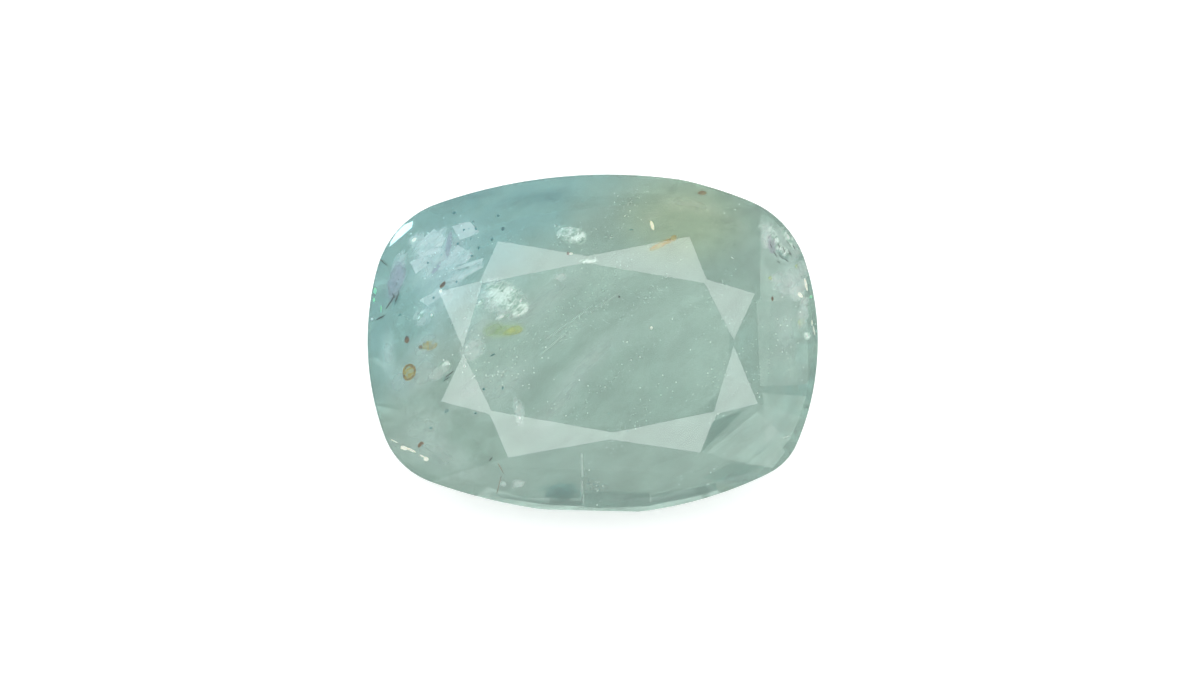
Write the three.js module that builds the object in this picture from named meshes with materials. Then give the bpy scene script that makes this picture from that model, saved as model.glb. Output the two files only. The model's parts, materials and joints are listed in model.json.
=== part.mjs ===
// A natural bluish green sapphire, cut as a cushion: a flat table, a crown of star, main and break
// facets, a rounded girdle and a stepped pavilion that ends in a short keel.
// Millimetres. The stone is drawn in its own frame first, table up (+Z), length along X, with its
// girdle near z = 0. It is then laid down the way a loose stone lies on a desk, on one long facet
// next to the keel, with the table leaning towards -Y.
import * as THREE from "three";

// Driving dimensions

const TABLE_HEIGHT = 1.3; // table above the girdle's reference level
const KEEL_DEPTH = 3.9; // keel below that level
const KEEL_HALF = 1.35; // half the length of the keel
const GIRDLE_BAND = 0.28; // width of the girdle band where a pavilion facet comes nearest to the crown

// The girdle's outline: long arcs, each given by the direction that its middle faces, how far it
// reaches from the stone's middle in that direction, and its radius. Four round corners join them,
// and the front edge was ground to a short flat.
const SIDES = {
  right: { faces: -3.3, reach: 5.49, radius: 6.4 },
  backRight: { faces: 88.8, reach: 4.26, radius: 10.5 },
  backLeft: { faces: 92.4, reach: 4.13, radius: 12.6 },
  left: { faces: 183.2, reach: 5.53, radius: 6.8 },
  frontLeft: { faces: 266.2, reach: 4.17, radius: 13.6 },
  frontRight: { faces: 270.7, reach: 4.19, radius: 9.9 },
};
const CORNERS = [
  { from: "right", to: "backRight", radius: 2.35 },
  { from: "backLeft", to: "left", radius: 2.3 },
  { from: "left", to: "frontLeft", radius: 1.85 },
  { from: "frontRight", to: "right", radius: 1.4 },
];
const FRONT_FLAT = { faces: 268.7, reach: 4.09 };
const OUTLINE_POINTS = 144;

// The crown, seen from above and going round from the right-hand end. A corner is where two star
// facets and the table would meet, and a tip is where the main facet there really ends: a little
// short of the corner, or a little over it, as a hand-cut stone has it. Each star facet runs from
// its corner to the next one, at its own angle from the table, in degrees.
const CROWN = [
  { corner: [3.45, 0.04], tip: [3.42, 0.01], starTip: [3.94, 1.22], star: 18.5 },
  { corner: [2.71, 1.47], tip: [2.8, 1.55], starTip: [2.34, 2.61], star: 16 },
  { corner: [-0.2, 1.97], tip: [-0.05, 2.15], starTip: [-2.33, 2.5], star: 18 },
  { corner: [-2.71, 1.47], tip: [-2.72, 1.63], starTip: [-3.77, 1.26], star: 15 },
  { corner: [-3.21, -0.18], tip: [-3.18, -0.17], starTip: [-3.72, -1.41], star: 19.5 },
  { corner: [-2.49, -1.64], tip: [-2.59, -1.71], starTip: [-2.08, -2.78], star: 16.5 },
  { corner: [0.48, -2.17], tip: [0.34, -2.35], starTip: [2.6, -2.66], star: 19.5 },
  { corner: [2.94, -1.66], tip: [2.96, -1.81], starTip: [4.01, -1.47], star: 20 },
];
const BREAK_LEVEL = 0; // where two break facets meet at the girdle

// The pavilion: three rows of facets, one above the other, that face the directions below in each
// quarter. The last row runs from the second step to the ends of the keel. The corner facets are
// ground a few degrees flatter than the rest of their row, or they would run out to slivers, and
// more so at the front, where the corners are sharper.
const QUARTER_FACES = [
  { faces: 0, flatter: { back: 0, front: 0 } },
  { faces: 22, flatter: { back: 1.5, front: 1.5 } },
  { faces: 46, flatter: { back: 2.5, front: 4.5 } },
  { faces: 70, flatter: { back: 0, front: 0 } },
  { faces: 90, flatter: { back: 0, front: 0 } },
];
const GIRDLE_ROW_ANGLE = 52;
const MIDDLE_ROW_ANGLE = 42;
const FIRST_STEP = -1.6; // level of the edge between the girdle row and the middle row
const SECOND_STEP = -2.6; // level of the edge between the middle row and the keel row

const COLOUR = 0x9dbbb0;

const SPARE = 1; // what the rough stone stands proud of the table and the keel before it is cut
const SAME_POINT = 0.004; // corners nearer than this are one corner
const ON_PLANE = 1e-7; // a corner nearer to a plane than this lies on it
const SAME_CUT = 1e-6; // two cuts of one edge are nearer to each other than this

const radians = THREE.MathUtils.degToRad;
const heading = (degrees) =>
  new THREE.Vector2(Math.cos(radians(degrees)), Math.sin(radians(degrees)));

// The girdle outline

function sideArc({ faces, reach, radius }) {
  return { centre: heading(faces).multiplyScalar(reach - radius), radius };
}

// The arc that rounds the corner between two side arcs and touches both.
function cornerArc(a, b, radius) {
  const apart = b.centre.clone().sub(a.centre);
  const distance = apart.length();
  const fromA = a.radius - radius;
  const fromB = b.radius - radius;
  const along = (fromA ** 2 - fromB ** 2 + distance ** 2) / (2 * distance);
  const across = Math.sqrt(fromA ** 2 - along ** 2);
  const unit = apart.normalize();
  const base = a.centre.clone().addScaledVector(unit, along);
  const sideways = new THREE.Vector2(-unit.y, unit.x);
  return { centre: base.addScaledVector(sideways, across), radius };
}

// How far a ray from the middle travels before it leaves a circle.
function rayOutOfArc({ centre, radius }, ray) {
  const along = ray.dot(centre);
  return along + Math.sqrt(along ** 2 - centre.lengthSq() + radius ** 2);
}

function touchAngle(side, corner) {
  const away = corner.centre.clone().sub(side.centre).setLength(side.radius);
  return side.centre.clone().add(away).angle();
}

const sideArcs = Object.fromEntries(
  Object.entries(SIDES).map(([name, side]) => [name, sideArc(side)]),
);
const cornerArcs = CORNERS.map(({ from, to, radius }) => {
  const arc = cornerArc(sideArcs[from], sideArcs[to], radius);
  return {
    ...arc,
    starts: touchAngle(sideArcs[from], arc),
    ends: touchAngle(sideArcs[to], arc),
  };
});
const flatNormal = heading(FRONT_FLAT.faces);

function isBetween(angle, starts, ends) {
  const turn = 2 * Math.PI;
  return (angle - starts + turn) % turn <= (ends - starts + turn) % turn;
}

function outlinePoint(angle) {
  const ray = new THREE.Vector2(Math.cos(angle), Math.sin(angle));
  const corner = cornerArcs.find((c) => isBetween(angle, c.starts, c.ends));
  let reach = corner
    ? rayOutOfArc(corner, ray)
    : Math.min(...Object.values(sideArcs).map((s) => rayOutOfArc(s, ray)));
  if (ray.dot(flatNormal) > 0)
    reach = Math.min(reach, FRONT_FLAT.reach / ray.dot(flatNormal));
  return ray.multiplyScalar(reach);
}

const outline = [];
for (let i = 0; i < OUTLINE_POINTS; i++)
  outline.push(outlinePoint((2 * Math.PI * i) / OUTLINE_POINTS));

// The outline point that lies furthest in a direction.
function furthest(direction) {
  return outline.reduce((best, p) =>
    p.dot(direction) > best.dot(direction) ? p : best,
  );
}

// Where a straight line from a point inside the outline crosses it, found by halving.
function crossing(start, direction) {
  let inside = 0;
  let outside = 2 * SIDES.right.reach;
  while (outside - inside > ON_PLANE) {
    const middle = (inside + outside) / 2;
    const p = start.clone().addScaledVector(direction, middle);
    if (p.length() < outlinePoint(p.angle()).length()) inside = middle;
    else outside = middle;
  }
  return start.clone().addScaledVector(direction, inside);
}

// Facets. Each is a plane whose normal points out of the stone.

const at = (plan, height) => new THREE.Vector3(plan.x, plan.y, height);
const plan = ([x, y]) => new THREE.Vector2(x, y);

function planeThrough(a, b, c) {
  const plane = new THREE.Plane().setFromCoplanarPoints(a, b, c);
  const middle = new THREE.Vector3();
  return plane.distanceToPoint(middle) > 0 ? plane.negate() : plane;
}

const heightOn = (plane, { x, y }) =>
  -(plane.constant + plane.normal.x * x + plane.normal.y * y) / plane.normal.z;

// A facet of the crown or the pavilion that faces a direction and passes through a point.
function slope(direction, angle, point, up) {
  const normal = new THREE.Vector3(
    direction.x * Math.sin(radians(angle)),
    direction.y * Math.sin(radians(angle)),
    up * Math.cos(radians(angle)),
  );
  return new THREE.Plane().setFromNormalAndCoplanarPoint(normal, point);
}

// The direction square to a line in plan, away from the stone's middle.
function outward(a, b) {
  const side = new THREE.Vector2(b.y - a.y, a.x - b.x).normalize();
  return side.dot(a) < 0 ? side.negate() : side;
}

function crownFacets() {
  const table = new THREE.Plane(new THREE.Vector3(0, 0, 1), -TABLE_HEIGHT);
  const count = CROWN.length;
  const next = (i) => (i + 1) % count;
  const previous = (i) => (i + count - 1) % count;

  const stars = CROWN.map(({ corner, star }, i) => {
    const a = plan(corner);
    const b = plan(CROWN[next(i)].corner);
    return slope(outward(a, b), star, at(a, TABLE_HEIGHT), 1);
  });
  const starTips = CROWN.map(({ starTip }, i) =>
    at(plan(starTip), heightOn(stars[i], plan(starTip))),
  );

  const mains = CROWN.map(({ tip }, i) => {
    const end = plan(tip);
    const neighbours = [stars[previous(i)], stars[i]];
    const height = Math.min(
      TABLE_HEIGHT,
      ...neighbours.map((star) => heightOn(star, end)),
    );
    return planeThrough(at(end, height), starTips[previous(i)], starTips[i]);
  });
  const mainFeet = CROWN.map(({ tip }, i) => {
    const direction = outward(starTips[previous(i)], starTips[i]);
    const foot = crossing(plan(tip), direction);
    return at(foot, heightOn(mains[i], foot));
  });

  const breaks = starTips.flatMap((starTip, i) => {
    const a = plan(CROWN[i].corner);
    const b = plan(CROWN[next(i)].corner);
    const start = plan(CROWN[i].starTip);
    const foot = at(crossing(start, outward(a, b)), BREAK_LEVEL);
    return [
      planeThrough(starTip, mainFeet[i], foot),
      planeThrough(starTip, foot, mainFeet[next(i)]),
    ];
  });
  return [table, ...stars, ...mains, ...breaks];
}

// The directions that each row of the pavilion faces, all the way round, with how much flatter
// than its row the facet there is.
function pavilionRow() {
  const row = new Map();
  for (const { faces, flatter } of QUARTER_FACES) {
    for (const degrees of [faces, 180 - faces]) row.set(degrees, flatter.back);
    for (const degrees of [180 + faces, (360 - faces) % 360])
      row.set(degrees, flatter.front);
  }
  return [...row];
}

function pavilionFacets(crown) {
  return pavilionRow().flatMap(([degrees, flatter]) => {
    const direction = heading(degrees);
    const edge = furthest(direction);
    const crownEdge = Math.min(...crown.slice(1).map((f) => heightOn(f, edge)));
    const top = at(edge, crownEdge - GIRDLE_BAND);
    const girdleAngle = GIRDLE_ROW_ANGLE - flatter;
    const girdleRow = slope(direction, girdleAngle, top, -1);

    // How far from the middle, in the direction that the facet faces, each step lies.
    const firstInset = (top.z - FIRST_STEP) / Math.tan(radians(girdleAngle));
    const firstReach = edge.dot(direction) - firstInset;
    const firstEdge = at(direction.clone().multiplyScalar(firstReach), FIRST_STEP);
    const middleAngle = MIDDLE_ROW_ANGLE - flatter;
    const middleRow = slope(direction, middleAngle, firstEdge, -1);

    const secondInset = (FIRST_STEP - SECOND_STEP) / Math.tan(radians(middleAngle));
    const secondReach = firstReach - secondInset;
    const side = Math.abs(direction.x) < ON_PLANE ? 0 : Math.sign(direction.x);
    const keelEnd = new THREE.Vector2(side * KEEL_HALF, 0);
    const run = secondReach - keelEnd.dot(direction);
    const keelAngle = THREE.MathUtils.radToDeg(
      Math.atan((SECOND_STEP + KEEL_DEPTH) / run),
    );
    const keelRow = slope(direction, keelAngle, at(keelEnd, -KEEL_DEPTH), -1);
    return [girdleRow, middleRow, keelRow];
  });
}

// Cutting. A convex stone is a list of flat faces, each a ring of corners seen from outside.

function roughStone() {
  const low = outline.map((p) => at(p, -KEEL_DEPTH - SPARE));
  const high = outline.map((p) => at(p, TABLE_HEIGHT + SPARE));
  const walls = outline.map((_, i) => {
    const j = (i + 1) % outline.length;
    return [low[i], low[j], high[j], high[i]];
  });
  return [high, low.toReversed(), ...walls];
}

// Grinds the stone down to a plane: clips each face, then closes the stone with a new facet.
function grind(stone, plane) {
  const standsProud = (p) => plane.distanceToPoint(p) > ON_PLANE;
  if (!stone.some((face) => face.some(standsProud))) return stone;
  const rim = [];
  const kept = stone.map((face) => {
    const clipped = [];
    face.forEach((corner, i) => {
      const after = face[(i + 1) % face.length];
      const here = plane.distanceToPoint(corner);
      const there = plane.distanceToPoint(after);
      if (here <= ON_PLANE) clipped.push(corner);
      if (Math.abs(here) <= ON_PLANE) rim.push(corner);
      if (Math.abs(here) > ON_PLANE && Math.abs(there) > ON_PLANE)
        if (here > 0 !== there > 0) {
          const cut = corner.clone().lerp(after, here / (here - there));
          clipped.push(cut);
          rim.push(cut);
        }
    });
    return clipped;
  });
  const solidFaces = kept.filter((face) => face.length > 2);
  const facet = ringOf(rim, plane.normal);
  return facet.length > 2 ? [...solidFaces, facet] : solidFaces;
}

// The corners of a convex facet, each once, in turn round its normal.
function ringOf(points, normal) {
  const corners = [];
  for (const p of points)
    if (!corners.some((q) => q.distanceTo(p) < SAME_CUT)) corners.push(p);
  if (corners.length < 3) return corners;
  const middle = new THREE.Vector3();
  corners.forEach((p) => middle.addScaledVector(p, 1 / corners.length));
  const across = corners[0].clone().sub(middle).normalize();
  const around = normal.clone().cross(across);
  const turn = (p) => {
    const arm = p.clone().sub(middle);
    return Math.atan2(arm.dot(around), arm.dot(across));
  };
  return corners.sort((p, q) => turn(p) - turn(q));
}

function stoneGeometry(faces) {
  const corners = [];
  const cornerIndex = (p) => {
    const found = corners.findIndex((q) => q.distanceTo(p) < SAME_POINT);
    return found < 0 ? corners.push(p) - 1 : found;
  };
  const triangles = [];
  for (const face of faces) {
    const ring = face
      .map(cornerIndex)
      .filter((c, i, all) => c !== all[(i + 1) % all.length]);
    for (let i = 1; i + 1 < ring.length; i++)
      triangles.push(ring[0], ring[i], ring[i + 1]);
  }
  return new THREE.BufferGeometry()
    .setFromPoints(corners)
    .setIndex(triangles);
}

const crown = crownFacets();
const pavilion = pavilionFacets(crown);
const cut = [...crown, ...pavilion].reduce(grind, roughStone());

const sapphire = new THREE.Mesh(
  stoneGeometry(cut),
  new THREE.MeshStandardMaterial({
    color: COLOUR,
    roughness: 0.05,
    metalness: 0,
  }),
);
sapphire.name = "sapphire";

// The facet that the stone lies on faces the front, next to the keel.
const restFacet = pavilion
  .filter(({ normal }) => Math.abs(normal.x) < ON_PLANE && normal.y < 0)
  .reduce((a, b) => (b.normal.z < a.normal.z ? b : a));
sapphire.quaternion.setFromUnitVectors(
  restFacet.normal,
  new THREE.Vector3(0, 0, -1),
);

const specimen = new THREE.Group();
specimen.add(sapphire);
specimen.updateMatrixWorld(true);
const bounds = new THREE.Box3().setFromObject(specimen, true);
const centre = bounds.getCenter(new THREE.Vector3());
sapphire.position.set(-centre.x, -centre.y, -bounds.min.z);

export default specimen;
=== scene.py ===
import json
import math
import random

import bpy
from mathutils import Matrix, Vector
from mathutils.bvhtree import BVHTree

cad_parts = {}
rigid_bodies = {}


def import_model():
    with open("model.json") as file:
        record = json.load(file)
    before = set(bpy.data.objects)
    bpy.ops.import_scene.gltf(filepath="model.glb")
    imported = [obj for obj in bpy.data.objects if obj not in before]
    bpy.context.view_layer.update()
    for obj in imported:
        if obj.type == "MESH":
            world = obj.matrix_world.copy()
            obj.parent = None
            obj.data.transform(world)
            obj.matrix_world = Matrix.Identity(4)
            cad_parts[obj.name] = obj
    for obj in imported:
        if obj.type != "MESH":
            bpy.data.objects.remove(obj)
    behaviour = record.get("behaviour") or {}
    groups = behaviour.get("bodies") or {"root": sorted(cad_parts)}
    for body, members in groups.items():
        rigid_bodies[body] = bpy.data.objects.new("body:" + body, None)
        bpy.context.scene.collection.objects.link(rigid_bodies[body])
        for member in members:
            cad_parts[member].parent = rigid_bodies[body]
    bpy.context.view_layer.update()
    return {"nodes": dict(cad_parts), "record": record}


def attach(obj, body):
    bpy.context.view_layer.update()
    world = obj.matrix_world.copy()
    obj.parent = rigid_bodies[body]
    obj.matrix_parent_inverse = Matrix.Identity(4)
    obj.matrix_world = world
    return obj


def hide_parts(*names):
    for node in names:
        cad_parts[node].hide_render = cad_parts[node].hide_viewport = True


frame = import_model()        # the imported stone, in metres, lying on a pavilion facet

# A loose cushion-cut sapphire, bluish green, with silk, fractures and small crystals inside it.
# Lengths are in millimetres in the stone's own frame (x along its length, y across it, z out of
# the table) until they are turned into metres. Places in the photograph are pixels of its frame.
mm = 0.001


# The stone's own frame, taken from the table's mount in the record

stoneFrame = {
    "tableHeight": 1.3,       # table above the girdle
    "tableMountAlong": 0.1,   # how far along the length the mount lies from the middle
}


def gemToWorld():
    table = next(m for m in frame["record"]["mounts"] if m["name"] == "table")
    up = Vector(table["axis"]).normalized()
    along = Vector((1, 0, 0))
    across = up.cross(along)
    middle = Vector(table["pos_m"])
    middle -= up * stoneFrame["tableHeight"] * mm
    middle -= along * stoneFrame["tableMountAlong"] * mm
    turn = Matrix((along, across, up)).transposed()
    return Matrix.Translation(middle) @ turn.to_4x4()


gem = gemToWorld()
gemTilt = gem.to_euler()
gemOrigin = gem.to_translation()
gemTurn = gem.to_3x3().to_4x4()


def place(x, y, z):
    return gem @ Vector((x * mm, y * mm, z * mm))


def direction(x, y, z):
    return (gem.to_3x3() @ Vector((x, y, z))).normalized()


def outOfTable():
    return direction(0, 0, 1)


# Shader helpers

def setValues(node, values):
    for label, value in values.items():
        node.inputs[label].default_value = value


def principled(name, values):
    material = bpy.data.materials.new(name)
    material.use_nodes = True
    shader = material.node_tree.nodes["Principled BSDF"]
    setValues(shader, values)
    return material, material.node_tree, shader


def setInput(tree, socket, value):
    if isinstance(value, bpy.types.NodeSocket):
        tree.links.new(value, socket)
    else:
        socket.default_value = value


def maths(tree, operation, *values):
    node = tree.nodes.new("ShaderNodeMath")
    node.operation = operation
    for socket, value in zip(node.inputs, values):
        setInput(tree, socket, value)
    return node.outputs["Value"]


def soft(tree, value, start, end, low=0, high=1):
    node = tree.nodes.new("ShaderNodeMapRange")
    node.interpolation_type = "SMOOTHSTEP"
    setInput(tree, node.inputs["Value"], value)
    setInput(tree, node.inputs["From Min"], start)
    setInput(tree, node.inputs["From Max"], end)
    setInput(tree, node.inputs["To Min"], low)
    setInput(tree, node.inputs["To Max"], high)
    return node.outputs["Result"]


def mixColour(tree, factor, first, second, blend="MIX"):
    node = tree.nodes.new("ShaderNodeMix")
    node.data_type = "RGBA"
    node.blend_type = blend
    setInput(tree, node.inputs[0], factor)
    setInput(tree, node.inputs[6], first)
    setInput(tree, node.inputs[7], second)
    return node.outputs[2]


def noise(tree, vector, scale, detail, roughness, distortion=0):
    node = tree.nodes.new("ShaderNodeTexNoise")
    setInput(tree, node.inputs["Vector"], vector)
    setInput(tree, node.inputs["Scale"], scale)
    setInput(tree, node.inputs["Detail"], detail)
    setInput(tree, node.inputs["Roughness"], roughness)
    setInput(tree, node.inputs["Distortion"], distortion)
    return node.outputs["Fac"]


def turned(tree, vector, location=(0, 0, 0), angle=0, scale=(1, 1, 1)):
    node = tree.nodes.new("ShaderNodeMapping")
    node.vector_type = "TEXTURE"
    setInput(tree, node.inputs["Vector"], vector)
    rotation = (0, 0, math.radians(angle))
    setValues(node, {"Location": location, "Rotation": rotation, "Scale": scale})
    return node.outputs["Vector"]


def newGroup(name, inputs, outputs):
    group = bpy.data.node_groups.new(name, "ShaderNodeTree")
    for label, kind in inputs:
        group.interface.new_socket(label, in_out="INPUT", socket_type="NodeSocket" + kind)
    for label, kind in outputs:
        group.interface.new_socket(label, in_out="OUTPUT", socket_type="NodeSocket" + kind)
    return group, group.nodes.new("NodeGroupOutput").inputs


def useGroup(tree, group, values):
    node = tree.nodes.new("ShaderNodeGroup")
    node.node_tree = group
    setValues(node, values)
    return node.outputs


# Camera, along the table's normal as in the photograph

photo = {
    "width": 1200,
    "height": 677,
    "middle": (593.5, 343.5),   # pixel of the stone's own origin
    "pixelsPerMm": 40.86,
    "lens": 400,
    "clip": (0.01, 10),         # metres
}


def fromPixel(pixel):
    x = (pixel[0] - photo["middle"][0]) / photo["pixelsPerMm"]
    y = (photo["middle"][1] - pixel[1]) / photo["pixelsPerMm"]
    return x, y


def makeCamera():
    bpy.ops.object.camera_add()
    camera = bpy.context.object
    camera.name = "photoCamera"
    camera.data.lens = photo["lens"]
    acrossView = photo["width"] / photo["pixelsPerMm"]
    distance = acrossView * photo["lens"] / camera.data.sensor_width
    right, up = fromPixel((photo["width"] / 2, photo["height"] / 2))
    camera.matrix_world = Matrix.Translation(place(right, up, distance)) @ gemTurn
    camera.data.clip_start, camera.data.clip_end = photo["clip"]
    bpy.context.scene.camera = camera
    print("camera:", round(distance), "mm away")


# Floor and light

studio = {
    "floorSize": 2.0,          # metres
    "floorGap": 0.02,          # under the stone, so that the two faces don't coincide
    "floorWhite": 0.9,
    "floorGlow": 0.42,         # a lit paper floor, so that the stone's shadow stays faint
    "skyStrength": 1.12,
    "bandStrength": 2.4,       # soft band round the table's normal, seen in polished faces only
    "bandFrom": 26,            # degrees from the table's normal
    "bandTo": 46,
    "bandSoft": 3,
}


def makeFloor():
    bpy.ops.mesh.primitive_plane_add(size=studio["floorSize"], location=(0, 0, 0))
    floor = bpy.context.object
    floor.name = "floor"
    floor.data.transform(Matrix.Translation((0, 0, -studio["floorGap"] * mm)))
    white = studio["floorWhite"]
    values = {
        "Base Color": (white, white, white, 1),
        "Roughness": 1,
        "Specular IOR Level": 0,
        "Emission Color": (1, 1, 1, 1),
        "Emission Strength": studio["floorGlow"],
    }
    material = principled("floorPaper", values)[0]
    material.cycles.emission_sampling = "NONE"
    floor.data.materials.append(material)


def makeSky():
    world = bpy.data.worlds.new("softStudio")
    bpy.context.scene.world = world
    world.use_nodes = True
    world.cycles.sampling_method = "NONE"     # an even sky needs no lamp rays
    tree = world.node_tree
    tree.nodes.clear()
    output = tree.nodes.new("ShaderNodeOutputWorld")
    background = tree.nodes.new("ShaderNodeBackground")
    background.inputs["Color"].default_value = (1, 1, 1, 1)
    tree.links.new(background.outputs["Background"], output.inputs["Surface"])

    coordinates = tree.nodes.new("ShaderNodeTexCoord")
    lean = tree.nodes.new("ShaderNodeVectorMath")
    lean.operation = "DOT_PRODUCT"
    lean.inputs[1].default_value = outOfTable()
    tree.links.new(coordinates.outputs["Generated"], lean.inputs[0])
    angle = maths(tree, "ARCCOSINE", lean.outputs["Value"])
    blur = math.radians(studio["bandSoft"])
    start = math.radians(studio["bandFrom"])
    end = math.radians(studio["bandTo"])
    pastStart = soft(tree, angle, start - blur, start + blur)
    beforeEnd = soft(tree, angle, end - blur, end + blur, 1, 0)
    band = maths(tree, "MULTIPLY", pastStart, beforeEnd)
    light = tree.nodes.new("ShaderNodeLightPath")
    for ray in ("Is Glossy Ray", "Is Reflection Ray"):
        band = maths(tree, "MULTIPLY", band, light.outputs[ray])
    strength = maths(tree, "MULTIPLY_ADD", band, studio["bandStrength"], studio["skyStrength"])
    tree.links.new(strength, background.inputs["Strength"])


bounces = {
    "most": 14,
    "through": 12,
    "mirrored": 8,
    "scattered": 3,
    "clear": 48,        # thin haze faces crossed without a bend
}


def setLightPaths():
    scene = bpy.context.scene
    scene.view_settings.view_transform = "Standard"
    scene.view_settings.look = "None"
    cycles = scene.cycles
    cycles.max_bounces = bounces["most"]
    cycles.transmission_bounces = bounces["through"]
    cycles.glossy_bounces = bounces["mirrored"]
    cycles.transparent_max_bounces = bounces["clear"]
    cycles.diffuse_bounces = bounces["scattered"]


makeCamera()
makeFloor()
makeSky()
setLightPaths()
print("stage: camera, floor and light are in place")


# Mesh helpers

def deselectAll():
    if bpy.context.object and bpy.context.object.mode != "OBJECT":
        bpy.ops.object.mode_set(mode="OBJECT")
    bpy.ops.object.select_all(action="DESELECT")


def makeActive(piece):
    deselectAll()
    piece.select_set(True)
    bpy.context.view_layer.objects.active = piece


def editAll():
    bpy.ops.object.mode_set(mode="EDIT")
    bpy.ops.mesh.select_all(action="SELECT")


def leaveEdit():
    bpy.ops.object.mode_set(mode="OBJECT")


def cutBy(point, outward, fill):
    bpy.ops.mesh.select_all(action="SELECT")
    bpy.ops.mesh.bisect(
        plane_co=point,
        plane_no=outward.normalized(),
        use_fill=fill,
        clear_outer=True,
        threshold=1e-7,
    )


def joined(pieces):
    deselectAll()
    for piece in pieces:
        piece.select_set(True)
    bpy.context.view_layer.objects.active = pieces[0]
    if len(pieces) > 1:
        bpy.ops.object.join()
    return bpy.context.object


def copiesAt(piece, places):
    copies = []
    for matrix in places:
        copy = piece.copy()
        copy.data = piece.data.copy()
        copy.data.transform(matrix)
        bpy.context.collection.objects.link(copy)
        copies.append(copy)
    return joined(copies)


def finishPiece(piece, name, *materials):
    piece.name = name
    piece.data.name = name
    piece.data.materials.clear()
    for material in materials:
        piece.data.materials.append(material)
    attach(piece, "root")
    return piece


# The stone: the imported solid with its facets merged, and every facet edge worn by a hair

stoneCut = {
    "samePoint": 0.02,     # corners nearer than this are one
    "flatAngle": 1.0,      # degrees; less than this is one facet
    "edgeAngle": 3.0,
    "edgeWear": 0.012,
    "wallLean": 0.03,      # a girdle wall's normal leans less than this out of the girdle's plane
}


def copyOfStone():
    node = frame["nodes"]["sapphire"]
    piece = node.copy()
    piece.data = node.data.copy()
    piece.parent = None
    bpy.context.collection.objects.link(piece)
    makeActive(piece)
    editAll()
    bpy.ops.mesh.remove_doubles(threshold=stoneCut["samePoint"] * mm)
    leaveEdit()
    return piece


def isGirdleWall(normal):
    return abs(normal.dot(outOfTable())) < stoneCut["wallLean"]


def selectFacetEdges(mesh):
    normalsOfEdge = {}
    for polygon in mesh.polygons:
        polygon.use_smooth = False
        polygon.select = False
        for key in polygon.edge_keys:
            normalsOfEdge.setdefault(key, []).append(polygon.normal.copy())
    worn = 0
    for edge in mesh.edges:
        normals = normalsOfEdge[edge.key]
        edge.select = False
        if len(normals) != 2 or all(isGirdleWall(normal) for normal in normals):
            continue
        if normals[0].angle(normals[1]) > math.radians(stoneCut["edgeAngle"]):
            edge.select = True
            worn += 1
    return worn


def makeStone():
    stone = copyOfStone()
    editAll()
    bpy.ops.mesh.dissolve_limited(angle_limit=math.radians(stoneCut["flatAngle"]))
    bpy.ops.mesh.select_all(action="DESELECT")
    leaveEdit()
    worn = selectFacetEdges(stone.data)
    bpy.context.tool_settings.mesh_select_mode = (False, True, False)
    bpy.ops.object.mode_set(mode="EDIT")
    bpy.ops.mesh.bevel(
        offset=stoneCut["edgeWear"] * mm, segments=2, affect="EDGES", clamp_overlap=True
    )
    leaveEdit()
    print("stone:", len(stone.data.polygons), "faces,", worn, "facet edges worn")
    return stone


# Colour zones, read in the stone's own millimetres. A noise is its scale, detail and roughness.

def gemVector(tree):
    coordinates = tree.nodes.new("ShaderNodeTexCoord")
    node = tree.nodes.new("ShaderNodeMapping")
    node.vector_type = "TEXTURE"
    tree.links.new(coordinates.outputs["Object"], node.inputs["Vector"])
    setValues(node, {"Location": gemOrigin, "Rotation": gemTilt, "Scale": (mm, mm, mm)})
    return node.outputs["Vector"]


zones = {
    "body": (0.70, 0.90, 0.81, 1),
    "blue": (0.56, 0.97, 1.0, 1),
    "blueEdge": (0.0, 3.6, 131.5),    # a point of the blue zone's edge and the way into it
    "blueRange": (-0.9, 1.1),         # on that way, where the blue starts and where it is full
    "blueWander": 1.6,
    "wanderNoise": (0.9, 2, 0.55),
    "olive": (0.84, 0.96, 0.62, 1),
    "oliveMiddle": (2.2, 3.0, 0),
    "oliveSize": (2.2, 1.5, 4.0),
    "oliveRange": (1.0, 0.2),         # of its size, where it starts and where it is full
    "silkAngle": 39,                  # the silk runs from lower left to upper right
    "mottle": 0.12,
    "mottleStretch": (1.8, 1, 1),
    "mottleNoise": (2.4, 5, 0.65),
    "mottleRange": (0.3, 0.7),
}


def makeZones():
    group, output = newGroup("gemZones", (), (("Colour", "Color"), ("Plain", "Color")))
    vector = gemVector(group)
    x, y, way = zones["blueEdge"]
    split = group.nodes.new("ShaderNodeSeparateXYZ")
    group.links.new(turned(group, vector, (x, y, 0), way), split.inputs["Vector"])
    depth = split.outputs["X"]
    plain = soft(group, depth, *zones["blueRange"])
    group.links.new(mixColour(group, plain, zones["body"], zones["blue"]), output["Plain"])

    swing = zones["blueWander"]
    cloud = noise(group, vector, *zones["wanderNoise"])
    wander = maths(group, "MULTIPLY_ADD", cloud, swing, -swing / 2)
    blue = soft(group, maths(group, "ADD", depth, wander), *zones["blueRange"])
    colour = mixColour(group, blue, zones["body"], zones["blue"])

    length = group.nodes.new("ShaderNodeVectorMath")
    length.operation = "LENGTH"
    oval = turned(group, vector, zones["oliveMiddle"], 0, zones["oliveSize"])
    group.links.new(oval, length.inputs[0])
    olive = soft(group, length.outputs["Value"], *zones["oliveRange"])
    colour = mixColour(group, olive, colour, zones["olive"])

    along = turned(group, vector, angle=zones["silkAngle"], scale=zones["mottleStretch"])
    mottle = noise(group, along, *zones["mottleNoise"])
    change = zones["mottle"]
    brightness = soft(group, mottle, *zones["mottleRange"], 1 - change, 1 + change)
    grey = group.nodes.new("ShaderNodeCombineXYZ")
    for socket in grey.inputs:
        group.links.new(brightness, socket)
    colour = mixColour(group, 1, colour, grey.outputs["Vector"], "MULTIPLY")
    group.links.new(colour, output["Colour"])
    return group


gemZones = makeZones()

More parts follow.
